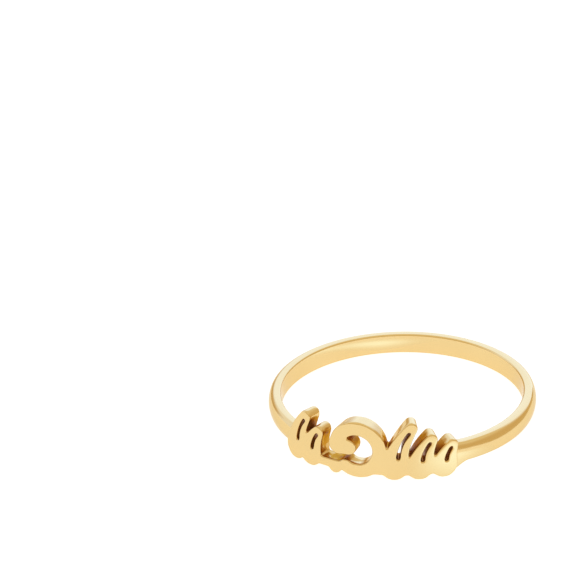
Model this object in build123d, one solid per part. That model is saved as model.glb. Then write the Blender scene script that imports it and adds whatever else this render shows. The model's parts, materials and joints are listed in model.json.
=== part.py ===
from build123d import *

import os
from math import atan2, cos, degrees, hypot, radians, sin, sqrt

# A finger ring cast in one piece: a narrow D-section band, and a pierced front plate of curved
# leaves around one curled scroll. It lies on its side, as it rests by itself.

# Sizes of the band, in millimetres
bore_radius = 8.65
band_thickness = 0.90
band_width = 1.50
band_crown_radius = 1.30
band_corner_radius = 0.35
bore_edge_radius = 0.12

# Sizes of the plate: its length is measured along its face, its rise and drop from mid-band
plate_thickness = 1.15
plate_length = 14.0
plate_rise = 3.0
plate_drop = 1.38
rail_lift = 0.34
rail_height = 0.70

# Sizes of the leaves, their slits and the scroll
leaf_foot_radius = 0.98
leaf_tip_radius = 0.46
slit_foot_radius = 0.14
slit_tip_radius = 0.11
scroll_stroke = 1.02
scroll_ball_radius = 0.72
scroll_nose_radius = 0.60
scroll_toe_radius = 0.50

# Sizes of the shoulder where the plate's right end flares out of the band
shoulder_rise = 0.82
shoulder_drop = 1.36
shoulder_tip_radius = 0.50
shoulder_step = 0.10

# Leaves: place is a share of the plate's length from its left end, height a share of its rise
leaf_rows = [
    {"place": 0.070, "height": 0.90},
    {"place": 0.176, "height": 0.62},
    {"place": 0.634, "height": 1.00},
    {"place": 0.762, "height": 0.68},
    {"place": 0.887, "height": 0.48},
]
leaf_lean = 0.42
leaf_bulge = 2.30
leaf_hollow = 1.25

# A slit's two ends, as shares of its leaf's way from foot to tip
slit_start = 0.25
slit_end = 0.88

# The scroll: place along the plate and height as for the leaves, the rest as shares of its radius
scroll_place = 0.448
scroll_height = 0.95
scroll_sweep_start = -122
scroll_sweep_end = 178
ball_place = (-0.68, 0.07)
nose_place = (-0.31, 0.05)
toe_place = -0.80

# The shoulder's round end, as a share of the plate's length, and how hollow its sides are
shoulder_place = 0.925
shoulder_hollow = 1.5

# Worked out from the sizes
band_radius = bore_radius + band_thickness
plate_radius = bore_radius + plate_thickness
foot_height = leaf_foot_radius - plate_drop
spare = plate_thickness / 2
plate_left_angle = degrees(-plate_length / 2 / plate_radius)


def angle_at(place):
    """The angle round the ring, from the front, of a share of the plate's length."""
    return plate_left_angle + degrees(place * plate_length / plate_radius)


def tangent_plane(angle):
    """A plane just outside the plate's face at this angle: x runs right, y up, z outwards."""
    direction = (sin(radians(angle)), -cos(radians(angle)), 0)
    across = (cos(radians(angle)), sin(radians(angle)), 0)
    reach = plate_radius + spare
    origin = (direction[0] * reach, direction[1] * reach, 0)
    return Plane(origin=origin, x_dir=across, z_dir=direction)


def meeting_point(first, first_radius, second, second_radius, side):
    """Where two circles meet, on the left (1) or right (-1) of the line between their centres."""
    dx = second[0] - first[0]
    dy = second[1] - first[1]
    gap = hypot(dx, dy)
    along = (first_radius**2 - second_radius**2 + gap**2) / (2 * gap)
    across = side * sqrt(first_radius**2 - along**2)
    return (first[0] + (along * dx - across * dy) / gap, first[1] + (along * dy + across * dx) / gap)


def point_toward(start, target, distance):
    """The point this far from start on the way to target."""
    gap = hypot(target[0] - start[0], target[1] - start[1])
    share = distance / gap
    return (start[0] + (target[0] - start[0]) * share, start[1] + (target[1] - start[1]) * share)


def point_around(centre, reach, direction):
    """The point this far from a centre, in a direction in degrees."""
    return (centre[0] + reach * cos(radians(direction)), centre[1] + reach * sin(radians(direction)))


def side_arc(foot, foot_radius, tip, tip_radius, bend, side):
    """An arc that touches the foot and tip circles: a bend over 0 bulges, one under 0 is hollow."""
    if bend > 0:
        centre = meeting_point(foot, bend - foot_radius, tip, bend - tip_radius, -side)
        start = point_toward(foot, centre, -foot_radius)
        end = point_toward(tip, centre, -tip_radius)
    else:
        centre = meeting_point(foot, foot_radius - bend, tip, tip_radius - bend, side)
        start = point_toward(foot, centre, foot_radius)
        end = point_toward(tip, centre, tip_radius)
    halfway = ((start[0] + end[0]) / 2, (start[1] + end[1]) / 2)
    middle = point_toward(centre, halfway, abs(bend))
    return start, middle, end


def drop_face(foot, foot_radius, tip, tip_radius, left_bend, right_bend):
    """A drop: two round ends joined on each side by one arc that touches both."""
    left_start, left_middle, left_end = side_arc(foot, foot_radius, tip, tip_radius, left_bend, 1)
    right_start, right_middle, right_end = side_arc(foot, foot_radius, tip, tip_radius, right_bend, -1)
    below = point_toward(foot, tip, -foot_radius)
    above = point_toward(tip, foot, -tip_radius)
    outline = Wire(
        [
            ThreePointArc(left_start, below, right_start),
            ThreePointArc(right_start, right_middle, right_end),
            ThreePointArc(right_end, above, left_end),
            ThreePointArc(left_end, left_middle, left_start),
        ]
    )
    return Face(outline)


def leaf_ends(height):
    """The leaf's foot and tip centres, in its own tangent plane."""
    rise = height * plate_rise - leaf_tip_radius - foot_height
    return (0, foot_height), (leaf_lean * rise, foot_height + rise)


def leaf_face(height):
    foot, tip = leaf_ends(height)
    reach = hypot(tip[0] - foot[0], tip[1] - foot[1])
    left_bend = leaf_foot_radius + leaf_bulge * reach
    right_bend = -leaf_hollow * (leaf_foot_radius + reach)
    return drop_face(foot, leaf_foot_radius, tip, leaf_tip_radius, left_bend, right_bend)


def slit_face(height):
    foot, tip = leaf_ends(height)
    reach = hypot(tip[0] - foot[0], tip[1] - foot[1])
    start = point_toward(foot, tip, slit_start * reach)
    end = point_toward(foot, tip, slit_end * reach)
    left_bend = slit_foot_radius + leaf_bulge * reach * (slit_end - slit_start)
    right_bend = -leaf_hollow * (slit_foot_radius + reach * (slit_end - slit_start))
    return drop_face(start, slit_foot_radius, end, slit_tip_radius, left_bend, right_bend)


def scroll_face():
    """The scroll in its own tangent plane: a thick open ring, its curled end and a small toe."""
    top = scroll_height * plate_rise
    radius = (top + plate_drop) / 2
    centre = (0, (top - plate_drop) / 2)
    half_stroke = scroll_stroke / 2
    sweep = scroll_sweep_end - scroll_sweep_start
    outer = CenterArc(centre, radius, scroll_sweep_start, sweep)
    inner = CenterArc(centre, radius - scroll_stroke, scroll_sweep_start, sweep)
    end_middle = point_around(centre, radius - half_stroke, scroll_sweep_start)
    end_tip = point_around(end_middle, half_stroke, scroll_sweep_start - 90)
    round_end = ThreePointArc(inner @ 0, end_tip, outer @ 0)
    arm = Face(Wire([outer, Line(outer @ 1, inner @ 1), inner, round_end]))
    ball = (ball_place[0] * radius, centre[1] + ball_place[1] * radius)
    nose = (nose_place[0] * radius, centre[1] + nose_place[1] * radius)
    curl = drop_face(ball, scroll_ball_radius, nose, scroll_nose_radius, -radius, -radius)
    toe = Pos(toe_place * radius, scroll_toe_radius - plate_drop) * Circle(scroll_toe_radius)
    return arm + [curl, toe.face()]


def round_wall(outer_radius):
    """A tall round wall from the bore to this radius, to trim the cast motifs to."""
    height = 2 * (plate_rise + plate_drop)
    return Cylinder(outer_radius, height) - Cylinder(bore_radius, height)


def run_in(face, angle):
    """A flat outline run in from its tangent plane towards the axis, past the bore."""
    return extrude(tangent_plane(angle) * face, amount=-(plate_thickness + 2 * spare))


def section_plane(angle):
    """A plane across the band at this angle: x runs out from the axis, y up."""
    outwards = (sin(radians(angle)), -cos(radians(angle)), 0)
    along = (-cos(radians(angle)), -sin(radians(angle)), 0)
    return Plane(origin=(0, 0, 0), x_dir=outwards, z_dir=along)


def short_arc(centre, start, end):
    """An arc about centre, the short way from start to end."""
    halfway = ((start[0] + end[0]) / 2, (start[1] + end[1]) / 2)
    radius = hypot(start[0] - centre[0], start[1] - centre[1])
    return ThreePointArc(start, point_toward(centre, halfway, radius), end)


def band_face():
    """The band's D section: flat at the bore, with a broad crown and rounded corners."""
    half = band_width / 2
    crown = (band_radius - band_crown_radius, 0)
    corner_height = half - band_corner_radius
    corner_reach = sqrt((band_crown_radius - band_corner_radius) ** 2 - corner_height**2)
    top_corner = (crown[0] + corner_reach, corner_height)
    low_corner = (crown[0] + corner_reach, -corner_height)
    top_touch = point_toward(crown, top_corner, band_crown_radius)
    low_touch = point_toward(crown, low_corner, band_crown_radius)
    top_edge = (bore_radius + bore_edge_radius, half - bore_edge_radius)
    low_edge = (bore_radius + bore_edge_radius, bore_edge_radius - half)
    outline = [
        short_arc(low_corner, (low_corner[0], -half), low_touch),
        short_arc(crown, low_touch, top_touch),
        short_arc(top_corner, top_touch, (top_corner[0], half)),
        Line((top_corner[0], half), (top_edge[0], half)),
        short_arc(top_edge, (top_edge[0], half), (bore_radius, top_edge[1])),
        Line((bore_radius, top_edge[1]), (bore_radius, low_edge[1])),
        short_arc(low_edge, (bore_radius, low_edge[1]), (low_edge[0], -half)),
        Line((low_edge[0], -half), (low_corner[0], -half)),
    ]
    return Face(Wire(outline))


def band(start_angle, end_angle):
    """The band, swept round the back of the ring from one angle to the other."""
    return revolve(section_plane(start_angle) * band_face(), Axis.Z, end_angle - start_angle)


def shoulder():
    """The flare that widens the band into the plate's right end."""
    foot = (0, (shoulder_rise - shoulder_drop) / 2)
    foot_radius = (shoulder_rise + shoulder_drop) / 2
    tip = ((1 - shoulder_place) * plate_length, 0)
    bend = -shoulder_hollow * (foot_radius + tip[0])
    outline = drop_face(foot, foot_radius, tip, shoulder_tip_radius, bend, bend)
    return run_in(outline, angle_at(shoulder_place)) & round_wall(band_radius - shoulder_step)


def rail():
    """The rail low in the plate that ties the motifs' feet together, thicker than the plate."""
    section = Rectangle(plate_thickness + spare, rail_height).face()
    middle = Pos((bore_radius + plate_radius) / 2, rail_lift + rail_height / 2 - plate_drop)
    first_angle = angle_at(leaf_rows[0]["place"])
    turn = angle_at(leaf_rows[-1]["place"]) - first_angle
    return revolve(section_plane(first_angle) * middle * section, Axis.Z, turn)


def plate():
    """The leaves, the scroll and the rail in one, trimmed to the plate's round wall."""
    motifs = [run_in(leaf_face(row["height"]), angle_at(row["place"])) for row in leaf_rows]
    motifs.append(run_in(scroll_face(), angle_at(scroll_place)))
    return (rail() + motifs) & round_wall(plate_radius)


def ring():
    """The whole ring about its own axis, with mid-band at height 0 and the plate at the front."""
    first_angle = angle_at(leaf_rows[0]["place"])
    last_angle = angle_at(leaf_rows[-1]["place"])
    slits = [run_in(slit_face(row["height"]), angle_at(row["place"])) for row in leaf_rows]
    return plate() + shoulder() + band(last_angle, 360 + first_angle) - slits


def rest_tilt():
    """The tilt at which the ring rests on its outer feet and on the back of the band."""
    first_angle = angle_at(leaf_rows[0]["place"])
    front_reach = bore_radius * cos(radians(first_angle))
    back_reach = band_radius - band_corner_radius
    return degrees(atan2(plate_drop - band_width / 2, front_reach + back_reach))


def laid_down(solid):
    """The ring tilted to its rest and moved so that it stands on height 0, over the origin."""
    tilted = Rot(X=-rest_tilt()) * solid
    box = tilted.bounding_box()
    middle = box.center()
    return Pos(-middle.X, -middle.Y, -box.min.Z) * tilted


os.makedirs("parts", exist_ok=True)
piece = laid_down(ring())
piece.label = "ring"
export_step(piece, "parts/ring.step")
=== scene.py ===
import json
import math

import bmesh
import bpy
from mathutils import Matrix, Vector
from mathutils.bvhtree import BVHTree


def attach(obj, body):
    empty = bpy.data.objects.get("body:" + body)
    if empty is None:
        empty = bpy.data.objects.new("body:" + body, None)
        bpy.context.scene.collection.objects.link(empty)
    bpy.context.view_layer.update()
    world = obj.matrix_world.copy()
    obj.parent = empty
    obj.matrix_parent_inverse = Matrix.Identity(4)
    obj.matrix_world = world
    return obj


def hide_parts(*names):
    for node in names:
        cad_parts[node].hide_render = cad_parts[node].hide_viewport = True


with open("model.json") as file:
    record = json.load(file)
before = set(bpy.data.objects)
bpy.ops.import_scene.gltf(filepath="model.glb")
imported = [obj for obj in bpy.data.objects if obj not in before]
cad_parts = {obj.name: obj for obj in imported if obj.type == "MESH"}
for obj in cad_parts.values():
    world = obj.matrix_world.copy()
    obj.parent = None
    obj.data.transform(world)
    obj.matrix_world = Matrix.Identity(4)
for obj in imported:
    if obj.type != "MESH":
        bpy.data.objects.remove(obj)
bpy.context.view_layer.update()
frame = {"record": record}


def report(text):
    print("ring:", text)


def asMesh(name, bm):
    mesh = bpy.data.meshes.new(name)
    bm.to_mesh(mesh)
    bm.free()
    return mesh


def newPiece(name, bm):
    piece = bpy.data.objects.new(name, asMesh(name, bm))
    bpy.context.scene.collection.objects.link(piece)
    return piece


def joined(name, meshes):
    bm = bmesh.new()
    for mesh in meshes:
        bm.from_mesh(mesh)
        bpy.data.meshes.remove(mesh)
    return newPiece(name, bm)


def addCut(piece, cutter):
    cut = piece.modifiers.new("cut", "BOOLEAN")
    cut.operation = "DIFFERENCE"
    cut.solver = "MANIFOLD"
    cut.object = cutter


def takeShape(piece, cutter):
    # the shape that the piece's modifiers give it, to work on; they and the cutter go
    made = bpy.data.meshes.new_from_object(piece.evaluated_get(bpy.context.evaluated_depsgraph_get()))
    piece.modifiers.clear()
    bpy.data.objects.remove(cutter)
    bm = bmesh.new()
    bm.from_mesh(made)
    bpy.data.meshes.remove(made)
    return bm


def newMaterial(name):
    material = bpy.data.materials.new(name)
    material.use_nodes = True
    return material, material.node_tree.nodes["Principled BSDF"]


def mappedValue(tree, value, fromRange, toRange, interpolation):
    step = tree.nodes.new("ShaderNodeMapRange")
    step.interpolation_type = interpolation
    step.inputs["From Min"].default_value, step.inputs["From Max"].default_value = fromRange
    step.inputs["To Min"].default_value, step.inputs["To Max"].default_value = toRange
    tree.links.new(value, step.inputs["Value"])
    return step.outputs["Result"]


def colorMix(tree, factor, first, second):
    # each of the two is a plain color, or the output of a node
    mix = tree.nodes.new("ShaderNodeMix")
    mix.data_type = "RGBA"
    tree.links.new(factor, mix.inputs["Factor"])
    for side, color in (("A", first), ("B", second)):
        if isinstance(color, tuple):
            mix.inputs[side].default_value = (*color, 1)
        else:
            tree.links.new(color, mix.inputs[side])
    return mix.outputs["Result"]


def eased(share):
    # a share from 0 to 1 that starts and ends gently
    return share * share * (3 - 2 * share)


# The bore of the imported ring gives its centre, its lean and its inner radius, in millimetres here
millimetre = 0.001
bore = frame["record"]["mounts"][0]
boreRadius = bore["dims"]["r_mm"]
lean = Vector((0, 0, 1)).rotation_difference(Vector(bore["axis"])).to_matrix().to_4x4()
laidDown = Matrix.Translation(bore["pos_m"]) @ lean @ Matrix.Scale(millimetre, 4)


# Flat drawing, in millimetres: x runs along the plate, z up, and the plate's face looks towards -y
drawing = {
    "arcStep": 0.05,  # about the length of one edge of an arc
    "fewestSteps": 3,
    "circleSteps": 48,
    "weld": 0.0005,  # points closer than this become one
}


def meetingPoint(first, firstRadius, second, secondRadius, side):
    # where two circles meet, on the left (1) or right (-1) of the way from first to second
    way = second - first
    along = (firstRadius**2 - secondRadius**2 + way.length_squared) / (2 * way.length)
    across = side * math.sqrt(firstRadius**2 - along**2)
    return first + (way * along + way.orthogonal() * across) / way.length


def drawArc(bm, centre, start, end, turn):
    # one vertex spun round a centre, anticlockwise (1) or clockwise (-1) seen from the front
    fromCentre = start - centre
    toEnd = end - centre
    sweep = math.atan2(toEnd.y, toEnd.x) - math.atan2(fromCentre.y, fromCentre.x)
    sweep = sweep * turn % (2 * math.pi)
    steps = max(drawing["fewestSteps"], round(sweep * fromCentre.length / drawing["arcStep"]))
    vert = bm.verts.new((start.x, 0, start.y))
    middle = (centre.x, 0, centre.y)
    bmesh.ops.spin(bm, geom=[vert], cent=middle, axis=(0, -turn, 0), angle=sweep, steps=steps)


def drawDrop(bm, foot, footRadius, tip, tipRadius, leftBend, rightBend):
    # two round ends joined by arcs that touch both: a bend over 0 bulges, one under 0 is hollow
    ends = []
    for side, bend in ((1, leftBend), (-1, rightBend)):
        way = 1 if bend > 0 else -1
        centre = meetingPoint(foot, abs(bend - footRadius), tip, abs(bend - tipRadius), -way * side)
        low = foot - way * (centre - foot).normalized() * footRadius
        high = tip - way * (centre - tip).normalized() * tipRadius
        ends.append((centre, low, high, way))
    (leftCentre, leftLow, leftHigh, leftWay), (rightCentre, rightLow, rightHigh, rightWay) = ends
    drawArc(bm, foot, leftLow, rightLow, 1)
    drawArc(bm, rightCentre, rightLow, rightHigh, rightWay)
    drawArc(bm, tip, rightHigh, leftHigh, 1)
    drawArc(bm, leftCentre, leftHigh, leftLow, leftWay)


def castOutline(bm, thickness, along):
    # fills a closed outline, gives it thickness and moves it along the plate
    bmesh.ops.remove_doubles(bm, verts=bm.verts, dist=drawing["weld"])
    bmesh.ops.contextual_create(bm, geom=bm.edges)
    made = bmesh.ops.extrude_face_region(bm, geom=bm.faces)
    front = [v for v in made["geom"] if isinstance(v, bmesh.types.BMVert)]
    bmesh.ops.translate(bm, verts=front, vec=(0, -thickness, 0))
    bmesh.ops.translate(bm, verts=bm.verts, vec=(along, 0, 0))
    bmesh.ops.recalc_face_normals(bm, faces=bm.faces)
    return asMesh("prism", bm)


plate = {
    "thickness": 1.15,
    "length": 14.0,
    "rise": 3.0,  # above mid-band
    "drop": 1.38,  # below mid-band
    "railLift": 0.34,  # the rail low in the plate ties the leaves' feet together
    "railHeight": 0.70,
    "grain": 0.05,  # grid of the cast skin
    "polish": 18,  # rounds that soften its edges
    "polishStrength": 0.5,
    # how shut in each spot is, which sets the painted shade in the gold's recesses
    "recessReach": 2.2,  # a wall closer than this makes a spot a recess
    "recessSpread": 0.8,  # how widely a spot looks round for such walls
    "recessLift": 0.02,  # how far off its own skin it starts to look
    "openFacing": 0.97,  # a spot that faces the front or back more squarely than this lies open
}

leaf = {
    "rows": ((0.070, 0.90), (0.176, 0.62), (0.634, 1.00), (0.762, 0.68), (0.887, 0.48)),  # place, height
    "footRadius": 0.98,
    "tipRadius": 0.46,
    "lean": 0.42,
    "bulge": 2.30,  # of the left side
    "hollow": 1.25,  # of the right side
    "slitFootRadius": 0.14,
    "slitTipRadius": 0.11,
    "slitStart": 0.25,  # shares of the way from foot to tip
    "slitEnd": 0.88,
}

scroll = {
    "place": 0.448,
    "height": 0.95,
    "stroke": 1.02,
    "sweepStart": -122,
    "sweepEnd": 178,
    "ball": (-0.68, 0.07),  # ball, nose and toe: shares of the scroll's radius
    "ballRadius": 0.72,
    "nose": (-0.31, 0.05),
    "noseRadius": 0.60,
    "toe": -0.80,
    "toeRadius": 0.50,
}

plateRadius = boreRadius + plate["thickness"]
footHeight = leaf["footRadius"] - plate["drop"]


def alongPlate(place):
    return (place - 0.5) * plate["length"]


def leafEnds(height):
    # the centres of a leaf's foot and tip, before it is moved along the plate
    rise = height * plate["rise"] - leaf["tipRadius"] - footHeight
    return Vector((0, footHeight)), Vector((leaf["lean"] * rise, footHeight + rise))


def leaningPrism(foot, footRadius, tip, tipRadius, thickness, place):
    # a drop whose left side bulges and whose right side is hollow, as on the leaves
    reach = (tip - foot).length
    leftBend = footRadius + leaf["bulge"] * reach
    rightBend = -leaf["hollow"] * (footRadius + reach)
    bm = bmesh.new()
    drawDrop(bm, foot, footRadius, tip, tipRadius, leftBend, rightBend)
    return castOutline(bm, thickness, alongPlate(place))


def leafPrism(place, height):
    foot, tip = leafEnds(height)
    return leaningPrism(foot, leaf["footRadius"], tip, leaf["tipRadius"], plate["thickness"], place)


def slitCutter(rows, spare=0):
    # a prism for the slit of each leaf, wider all round by spare and long enough to pass the plate
    thickness = plate["thickness"]
    footRadius, tipRadius = leaf["slitFootRadius"] + spare, leaf["slitTipRadius"] + spare
    prisms = []
    for place, height in rows:
        foot, tip = leafEnds(height)
        low, high = foot.lerp(tip, leaf["slitStart"]), foot.lerp(tip, leaf["slitEnd"])
        prisms.append(leaningPrism(low, footRadius, high, tipRadius, 3 * thickness, place))
    cutter = joined("slitCutter", prisms)
    cutter.data.transform(Matrix.Translation((0, thickness, 0)))
    return cutter


def scrollPrisms():
    # the arm that sweeps round, the curl inside it and the toe at its foot
    top = scroll["height"] * plate["rise"]
    radius = (top + plate["drop"]) / 2
    middle = Vector((0, (top - plate["drop"]) / 2))
    thickness = plate["thickness"]
    along = alongPlate(scroll["place"])

    def around(reach, degrees):
        return middle + Vector((math.cos(math.radians(degrees)), math.sin(math.radians(degrees)))) * reach

    arm = bmesh.new()
    start, end, inner = scroll["sweepStart"], scroll["sweepEnd"], radius - scroll["stroke"]
    drawArc(arm, middle, around(radius, start), around(radius, end), 1)
    drawArc(arm, middle, around(inner, start), around(inner, end), 1)
    drawArc(arm, around((radius + inner) / 2, start), around(inner, start), around(radius, start), 1)
    bmesh.ops.remove_doubles(arm, verts=arm.verts, dist=drawing["weld"])
    arm.edges.new([v for v in arm.verts if len(v.link_edges) == 1])

    curl = bmesh.new()
    ball = middle + Vector(scroll["ball"]) * radius
    nose = middle + Vector(scroll["nose"]) * radius
    drawDrop(curl, ball, scroll["ballRadius"], nose, scroll["noseRadius"], -radius, -radius)

    toe = bmesh.new()
    toeRadius = scroll["toeRadius"]
    low = Matrix.Translation((scroll["toe"] * radius, 0, toeRadius - plate["drop"]))
    upright = low @ Matrix.Rotation(math.pi / 2, 4, "X")
    segments = drawing["circleSteps"]
    bmesh.ops.create_circle(toe, cap_ends=False, segments=segments, radius=toeRadius, matrix=upright)
    return [castOutline(outline, thickness, along) for outline in (arm, curl, toe)]


def railPrism():
    # a bar from the first leaf's foot to the last one's
    first, last = alongPlate(leaf["rows"][0][0]), alongPlate(leaf["rows"][-1][0])
    low = plate["railLift"] - plate["drop"]
    size = Matrix.Diagonal((last - first, plate["thickness"], plate["railHeight"], 1))
    centre = Matrix.Translation(((first + last) / 2, -plate["thickness"] / 2, low + plate["railHeight"] / 2))
    bm = bmesh.new()
    bmesh.ops.create_cube(bm, size=1, matrix=centre @ size)
    return asMesh("prism", bm)


def addSkin(piece):
    skin = piece.modifiers.new("skin", "REMESH")
    skin.mode = "VOXEL"
    skin.voxel_size = plate["grain"]


def bendRound(verts):
    # from the flat drawing to the ring's own place
    for vert in verts:
        angle = vert.co.x / plateRadius
        reach = boreRadius - vert.co.y
        vert.co = laidDown @ Vector((reach * math.sin(angle), -reach * math.cos(angle), vert.co.z))


def markRecessShade(bm):
    # how far each spot is shut in by walls close in front of it, as an attribute that the gold uses for
    # painted shade in the recesses
    bm.normal_update()
    recessShade = bm.verts.layers.float.new("recessShade")
    walls = BVHTree.FromBMesh(bm)
    reach = plate["recessReach"]
    for vert in bm.verts:
        if abs(vert.normal.y) > plate["openFacing"]:
            continue
        side = vert.normal.orthogonal().normalized() * plate["recessSpread"]
        across = vert.normal.cross(side)
        looks = (side, -side, across, -across, Vector())
        shut = 0
        for look in looks:
            way = (vert.normal + look).normalized()
            start = vert.co + vert.normal * plate["recessLift"]
            distance = walls.ray_cast(start, way, reach)[3]
            if distance is not None:
                shut += (1 - distance / reach) / len(looks)
        vert[recessShade] = shut


def castPlate():
    prisms = [leafPrism(place, height) for place, height in leaf["rows"]]
    piece = joined("scrollPlate", prisms + scrollPrisms() + [railPrism()])
    cutter = slitCutter(leaf["rows"])
    addSkin(piece)
    addCut(piece, cutter)
    addSkin(piece)
    bm = takeShape(piece, cutter)
    allWays = {"use_axis_x": True, "use_axis_y": True, "use_axis_z": True}
    for _ in range(plate["polish"]):
        bmesh.ops.smooth_vert(bm, verts=bm.verts, factor=plate["polishStrength"], **allWays)
    # the measure that sets the painted shade in the recesses
    markRecessShade(bm)
    bendRound(bm.verts)
    bmesh.ops.recalc_face_normals(bm, faces=bm.faces)
    for face in bm.faces:
        face.smooth = True
    bm.to_mesh(piece.data)
    bm.free()
    report(f"plate cast, {len(piece.data.polygons)} faces")
    return piece


scrollPlate = castPlate()


band = {
    "thickness": 0.90,
    "width": 1.50,
    "crownRadius": 1.30,  # the broad outer dome
    "cornerRadius": 0.35,
    "boreEdgeRadius": 0.12,
    "leftEnd": -6.3,  # both ends stop inside the plate, along its face
    "rightEnd": 5.6,
    "flareStart": 7.5,  # where the band starts to widen into the plate's right end
    "flareEnd": 5.9,
    "flareDrop": 1.36,  # its reach below and above mid-band
    "flareRise": 0.84,
    "slitSpare": 0.05,  # how much wider than the last leaf's slit the band is cut there
    "sharpAngle": 0.7,  # walls that meet more sharply, in radians, keep a crisp edge
    "steps": 440,
}


def drawBandSection(bm):
    # the D section, at its real distance from the axis along x
    half = band["width"] / 2
    crownRadius, cornerRadius, edgeRadius = band["crownRadius"], band["cornerRadius"], band["boreEdgeRadius"]
    crown = Vector((boreRadius + band["thickness"] - crownRadius, 0))
    cornerHeight = half - cornerRadius
    cornerReach = math.sqrt((crownRadius - cornerRadius) ** 2 - cornerHeight**2)
    corner = crown + Vector((cornerReach, cornerHeight))
    touch = crown + (corner - crown).normalized() * crownRadius
    edge = Vector((boreRadius + edgeRadius, half - edgeRadius))

    def low(point):
        return Vector((point.x, -point.y))

    drawArc(bm, low(corner), Vector((corner.x, -half)), low(touch), 1)
    drawArc(bm, crown, low(touch), touch, 1)
    drawArc(bm, corner, touch, Vector((corner.x, half)), 1)
    drawArc(bm, edge, Vector((edge.x, half)), Vector((boreRadius, edge.y)), 1)
    drawArc(bm, low(edge), Vector((boreRadius, -edge.y)), Vector((edge.x, -half)), 1)
    bmesh.ops.remove_doubles(bm, verts=bm.verts, dist=drawing["weld"])
    loose = [v for v in bm.verts if len(v.link_edges) == 1]
    loose.sort(key=lambda v: (v.co.z > 0, v.co.x))  # the low ones first, each from the bore outwards
    boreLow, innerLow, outerLow, boreHigh, innerHigh, outerHigh = loose
    for ends in ((boreLow, boreHigh), (innerLow, outerLow), (innerHigh, outerHigh)):
        bm.edges.new(ends)


def flareRightEnd(verts):
    # widens the band up and down where it runs into the plate's right end
    for vert in verts:
        along = math.atan2(vert.co.x, -vert.co.y) * plateRadius
        if 0 < along < band["flareStart"]:
            way = (band["flareStart"] - along) / (band["flareStart"] - band["flareEnd"])
            reach = band["flareRise"] if vert.co.z > 0 else band["flareDrop"]
            vert.co.z *= 1 + eased(min(1, way)) * (2 * reach / band["width"] - 1)


def cutSlit(piece):
    # the band's right end passes the last leaf's slit and is cut free of it
    cutter = slitCutter(leaf["rows"][-1:], band["slitSpare"])
    bendRound(cutter.data.vertices)
    addCut(piece, cutter)
    bm = takeShape(piece, cutter)
    bmesh.ops.triangulate(bm, faces=[f for f in bm.faces if len(f.verts) > 4])
    for edge in bm.edges:
        edge.smooth = edge.calc_face_angle(0) < band["sharpAngle"]
    bm.to_mesh(piece.data)
    bm.free()


def castBand():
    bm = bmesh.new()
    drawBandSection(bm)
    start = band["rightEnd"] / plateRadius
    turn = 2 * math.pi + band["leftEnd"] / plateRadius - start
    toStart = Matrix.Rotation(start - math.pi / 2, 3, "Z")
    bmesh.ops.rotate(bm, verts=bm.verts, cent=(0, 0, 0), matrix=toStart)
    section = bm.verts[:] + bm.edges[:]
    bmesh.ops.spin(bm, geom=section, cent=(0, 0, 0), axis=(0, 0, 1), angle=turn, steps=band["steps"])
    bmesh.ops.holes_fill(bm, edges=[e for e in bm.edges if e.is_boundary])
    flareRightEnd(bm.verts)
    bmesh.ops.transform(bm, verts=bm.verts, matrix=laidDown)
    bmesh.ops.recalc_face_normals(bm, faces=bm.faces)
    for face in bm.faces:
        face.smooth = True
    piece = newPiece("ringBand", bm)
    cutSlit(piece)
    even = piece.modifiers.new("evenNormals", "WEIGHTED_NORMAL")
    even.keep_sharp = True
    report(f"band cast, {len(piece.data.polygons)} faces")
    return piece


ringBand = castBand()


gold = {
    "light": (0.80, 0.59, 0.27),
    "deep": (0.76, 0.55, 0.24),
    "edge": (0.86, 0.81, 0.71),  # its tint at a glancing look
    # painted shade: darker, browner gold in the recesses, and darker brown still deep in the slits
    "recessShade": (0.56, 0.29, 0.06),
    "recessShadeEdge": (0.66, 0.40, 0.12),  # the glancing tint there, darkened as painted shade
    "slitShade": (0.44, 0.17, 0.03),
    "recessStart": 0.09,  # how shut in a spot is before the painted shade starts to darken its gold
    "recessFull": 0.36,
    "slitFull": 0.85,
    "slitShine": 0.35,  # how metallic the gold stays deep in a slit, lowered so that the painted shade there looks dull brown
    "roughness": 0.14,
    "roughnessSpread": 0.05,
    "recessRoughness": 0.30,
    "cloudScale": 350,  # the slow change of tint and polish over the surface
    "cloudDetail": 3,
    "markScale": 6000,  # the fine marks of polishing
    "markDetail": 4,
    "markStrength": 0.04,
    "markDepth": 0.02,
}


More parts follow.
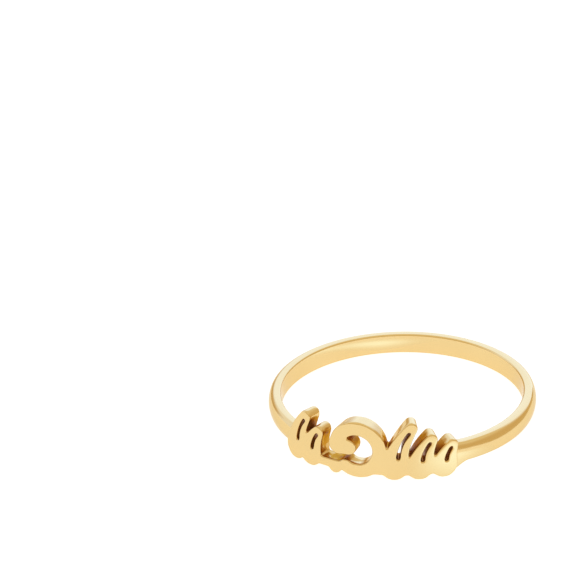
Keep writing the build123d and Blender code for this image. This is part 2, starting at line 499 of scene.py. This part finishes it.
def goldMaterial():
    material, shader = newMaterial("polishedGold")
    tree = material.node_tree
    nodes, links = tree.nodes, tree.links
    place = nodes.new("ShaderNodeTexCoord")

    def noise(scale, detail):
        texture = nodes.new("ShaderNodeTexNoise")
        texture.inputs["Scale"].default_value = scale
        texture.inputs["Detail"].default_value = detail
        links.new(place.outputs["Object"], texture.inputs["Vector"])
        return texture.outputs["Fac"]

    # painted shade: the recess attribute darkens and browns the gold, darkens its glancing tint and lowers
    # its metal in recesses and slits; it also makes the gold rougher there
    recessShade = nodes.new("ShaderNodeAttribute")
    recessShade.attribute_name = "recessShade"
    shut = recessShade.outputs["Fac"]
    toRecess = (gold["recessStart"], gold["recessFull"])
    depth = mappedValue(tree, shut, toRecess, (0, 1), "SMOOTHSTEP")

    cloud = noise(gold["cloudScale"], gold["cloudDetail"])
    tint = colorMix(tree, cloud, gold["deep"], gold["light"])
    shade = nodes.new("ShaderNodeValToRGB")
    stops = (("recessFull", "recessShade"), ("slitFull", "slitShade"))
    for element, (share, color) in zip(shade.color_ramp.elements, stops):
        element.position = gold[share]
        element.color = (*gold[color], 1)
    links.new(shut, shade.inputs["Fac"])
    links.new(colorMix(tree, depth, tint, shade.outputs["Color"]), shader.inputs["Base Color"])
    links.new(colorMix(tree, depth, gold["edge"], gold["recessShadeEdge"]), shader.inputs["Specular Tint"])

    toSlit = (gold["recessFull"], gold["slitFull"])
    links.new(mappedValue(tree, shut, toSlit, (1, gold["slitShine"]), "LINEAR"), shader.inputs["Metallic"])

    wear = (gold["roughness"] - gold["roughnessSpread"], gold["roughness"] + gold["roughnessSpread"])
    dull = nodes.new("ShaderNodeMix")
    dull.inputs["B"].default_value = gold["recessRoughness"]
    links.new(depth, dull.inputs["Factor"])
    links.new(mappedValue(tree, cloud, (0, 1), wear, "LINEAR"), dull.inputs["A"])
    links.new(dull.outputs["Result"], shader.inputs["Roughness"])

    bump = nodes.new("ShaderNodeBump")
    bump.inputs["Strength"].default_value = gold["markStrength"]
    bump.inputs["Distance"].default_value = gold["markDepth"] * millimetre
    links.new(noise(gold["markScale"], gold["markDetail"]), bump.inputs["Height"])
    links.new(bump.outputs["Normal"], shader.inputs["Normal"])
    return material


finish = goldMaterial()
for piece in (scrollPlate, ringBand):
    piece.data.materials.clear()
    piece.data.materials.append(finish)
    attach(piece, "root")
    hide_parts("ring")
report("gold finish on")


studio = {
    "floorSize": 3.0,
    "floorColor": (0.60, 0.60, 0.60),
    "floorRoughness": 0.9,
    "floorShine": 0.1,
    "floorGlow": 0.86,  # the table is lit from below, which keeps the shadows faint
    "plainSky": 0.35,  # what lights the floor from above, besides the top light
    "topLightPlace": (0, 0.04, 0.60),
    "topLightSize": 0.35,
    "topLightPower": 0.5,
    # what the gold shows: (turn from the front towards the right, in degrees, and color)
    "low": (
        (-90, (1.05, 1.15, 1.45)),
        (-55, (0.80, 0.66, 0.42)),
        (146, (0.78, 0.62, 0.37)),
        (165, (1.24, 1.55, 2.5)),
        (199, (1.24, 1.55, 2.5)),
        (213, (0.76, 0.60, 0.38)),
        (240, (0.76, 0.60, 0.38)),
        (254, (1.05, 1.15, 1.45)),
        (270, (1.05, 1.15, 1.45)),
    ),
    "high": (
        (-90, (1.05, 1.15, 1.45)),
        (-50, (0.85, 0.72, 0.50)),
        (135, (0.82, 0.68, 0.46)),
        (168, (1.18, 1.42, 2.1)),
        (200, (1.18, 1.42, 2.1)),
        (215, (1.05, 1.15, 1.45)),
        (270, (1.05, 1.15, 1.45)),
    ),
    "overhead": (0.92, 0.84, 0.66),
    "lowToHigh": (0.30, 0.50),  # sines of the angle above the horizon
    "highToOverhead": (0.62, 0.75),
}


def layFloor():
    bm = bmesh.new()
    bmesh.ops.create_grid(bm, x_segments=1, y_segments=1, size=studio["floorSize"] / 2)
    floor = newPiece("floor", bm)
    material, shader = newMaterial("paleFloor")
    shader.inputs["Base Color"].default_value = (*studio["floorColor"], 1)
    shader.inputs["Roughness"].default_value = studio["floorRoughness"]
    shader.inputs["Specular IOR Level"].default_value = studio["floorShine"]
    shader.inputs["Emission Color"].default_value = (1, 1, 1, 1)
    shader.inputs["Emission Strength"].default_value = studio["floorGlow"]
    floor.data.materials.append(material)


def skyColor(tree, compass, stops):
    # the compass is 0.25 at the front, and grows by 1 in a whole turn towards the right
    ramp = tree.nodes.new("ShaderNodeValToRGB")
    while len(ramp.color_ramp.elements) < len(stops):
        ramp.color_ramp.elements.new(0.5)
    for element, (turn, color) in zip(ramp.color_ramp.elements, stops):
        element.position = 0.25 + turn / 360
        element.color = (*color, 1)
    tree.links.new(compass, ramp.inputs["Fac"])
    return ramp.outputs["Color"]


def lightTheStudio():
    # a bright wall behind and a dim warm room in front: the gold shows them, the floor gets plain light
    world = bpy.data.worlds.new("studio")
    bpy.context.scene.world = world
    world.use_nodes = True
    tree = world.node_tree
    place = tree.nodes.new("ShaderNodeTexCoord").outputs["Generated"]
    parts = tree.nodes.new("ShaderNodeSeparateXYZ")
    tree.links.new(place, parts.inputs["Vector"])
    gradient = tree.nodes.new("ShaderNodeTexGradient")
    gradient.gradient_type = "RADIAL"
    tree.links.new(place, gradient.inputs["Vector"])
    height, compass = parts.outputs["Z"], gradient.outputs["Fac"]

    toHigh = mappedValue(tree, height, studio["lowToHigh"], (0, 1), "SMOOTHSTEP")
    toOverhead = mappedValue(tree, height, studio["highToOverhead"], (0, 1), "SMOOTHSTEP")
    low, high = skyColor(tree, compass, studio["low"]), skyColor(tree, compass, studio["high"])
    room = colorMix(tree, toOverhead, colorMix(tree, toHigh, low, high), studio["overhead"])
    plain = (studio["plainSky"],) * 3
    ray = tree.nodes.new("ShaderNodeLightPath")
    sky = colorMix(tree, ray.outputs["Is Glossy Ray"], plain, room)
    tree.links.new(sky, tree.nodes["Background"].inputs["Color"])


def hangTopLight():
    # it lights the floor and the gold's dull recesses, and no reflection shows it
    light = bpy.data.lights.new("topLight", "AREA")
    light.shape = "DISK"
    light.size = studio["topLightSize"]
    light.energy = studio["topLightPower"]
    lamp = bpy.data.objects.new("topLight", light)
    lamp.location = studio["topLightPlace"]
    lamp.rotation_euler = (-lamp.location).to_track_quat("-Z", "Y").to_euler()
    lamp.visible_glossy = False
    bpy.context.scene.collection.objects.link(lamp)


cards = {
    "dimRadius": 15.5,  # a low dim card that follows the band's right side, in mm
    "dimFoot": 0.05,
    "dimHeight": 5.0,
    "dimStart": 44,  # from the front towards the right, in degrees
    "dimEnd": 136,
    "dimRise": 2.4,  # how far its lower edge lifts off the floor at its ends
    "dimSlope": 34,  # over how many degrees it comes down
    "dimColor": (0.78, 0.62, 0.37),
    "spots": ((8.4, -10.0, 5.2), (-2.4, 5.9, 1.8)),  # round bright cards on the floor: x, y, radius
    "spotLift": 0.01,
    "spotColor": (1.32, 1.58, 2.0),  # in the middle
    "rimColor": (1.14, 1.14, 1.14),  # as bright as the floor
}


def layCard(name, bm, color, rimColor=None):
    # a studio card that only reflections see; one with a rim color fades to it outwards
    bmesh.ops.scale(bm, verts=bm.verts, vec=(millimetre, millimetre, millimetre))
    card = newPiece(name, bm)
    material, shader = newMaterial(name)
    shader.inputs["Base Color"].default_value = (0, 0, 0, 1)
    shader.inputs["Specular IOR Level"].default_value = 0
    shader.inputs["Emission Color"].default_value = (*color, 1)
    shader.inputs["Emission Strength"].default_value = 1
    if rimColor:
        tree = material.node_tree
        glow = tree.nodes.new("ShaderNodeAttribute")
        glow.attribute_name = "glow"
        middle = mappedValue(tree, glow.outputs["Fac"], (0, 1), (0, 1), "SMOOTHSTEP")
        tree.links.new(colorMix(tree, middle, rimColor, color), shader.inputs["Emission Color"])
    card.data.materials.append(material)
    card.visible_camera = card.visible_diffuse = card.visible_shadow = card.visible_transmission = False


def setDimCard():
    bm = bmesh.new()
    foot = bm.verts.new((0, -cards["dimRadius"], cards["dimFoot"]))
    head = bm.verts.new((0, -cards["dimRadius"], cards["dimHeight"]))
    bm.edges.new((foot, head))
    turn = Matrix.Rotation(math.radians(cards["dimStart"]), 3, "Z")
    bmesh.ops.rotate(bm, verts=bm.verts, cent=(0, 0, 0), matrix=turn)
    sweep = math.radians(cards["dimEnd"] - cards["dimStart"])
    upright = bm.verts[:] + bm.edges[:]
    steps = drawing["circleSteps"]
    bmesh.ops.spin(bm, geom=upright, cent=(0, 0, 0), axis=(0, 0, 1), angle=sweep, steps=steps)
    for vert in bm.verts:
        if vert.co.z < cards["dimHeight"] / 2:
            turned = math.degrees(math.atan2(vert.co.x, -vert.co.y))
            fromEnd = min(turned - cards["dimStart"], cards["dimEnd"] - turned) / cards["dimSlope"]
            vert.co.z += cards["dimRise"] * eased(max(0, 1 - fromEnd))
    layCard("dimCard", bm, cards["dimColor"])


def setBrightCards():
    bm = bmesh.new()
    glow = bm.verts.layers.float.new("glow")
    disk = {"cap_ends": True, "cap_tris": True, "segments": drawing["circleSteps"]}
    for x, y, radius in cards["spots"]:
        place = Matrix.Translation((x, y, cards["spotLift"]))
        bmesh.ops.create_circle(bm, radius=radius, matrix=place, **disk)
    for vert in bm.verts:
        vert[glow] = len(vert.link_edges) > 3  # the middle of a spot, where all its triangles meet
    layCard("brightCards", bm, cards["spotColor"], cards["rimColor"])


layFloor()
setDimCard()
setBrightCards()
lightTheStudio()
hangTopLight()
bpy.context.scene.view_settings.view_transform = "Standard"
report("studio lit")


camera = {
    "place": (0.044404, -0.165568, 0.097931),
    "turn": (63.0217, 2.5107, 16.4514),
    "lens": 175.62,
    "sensorWidth": 36,
    "nearest": 0.01,
    "farthest": 10,
}


def setCamera():
    lens = bpy.data.cameras.new("camera")
    lens.lens = camera["lens"]
    lens.sensor_width = camera["sensorWidth"]
    lens.clip_start, lens.clip_end = camera["nearest"], camera["farthest"]
    view = bpy.data.objects.new("camera", lens)
    view.location = camera["place"]
    view.rotation_euler = [math.radians(angle) for angle in camera["turn"]]
    bpy.context.scene.collection.objects.link(view)
    bpy.context.scene.camera = view


setCamera()
report("camera set")
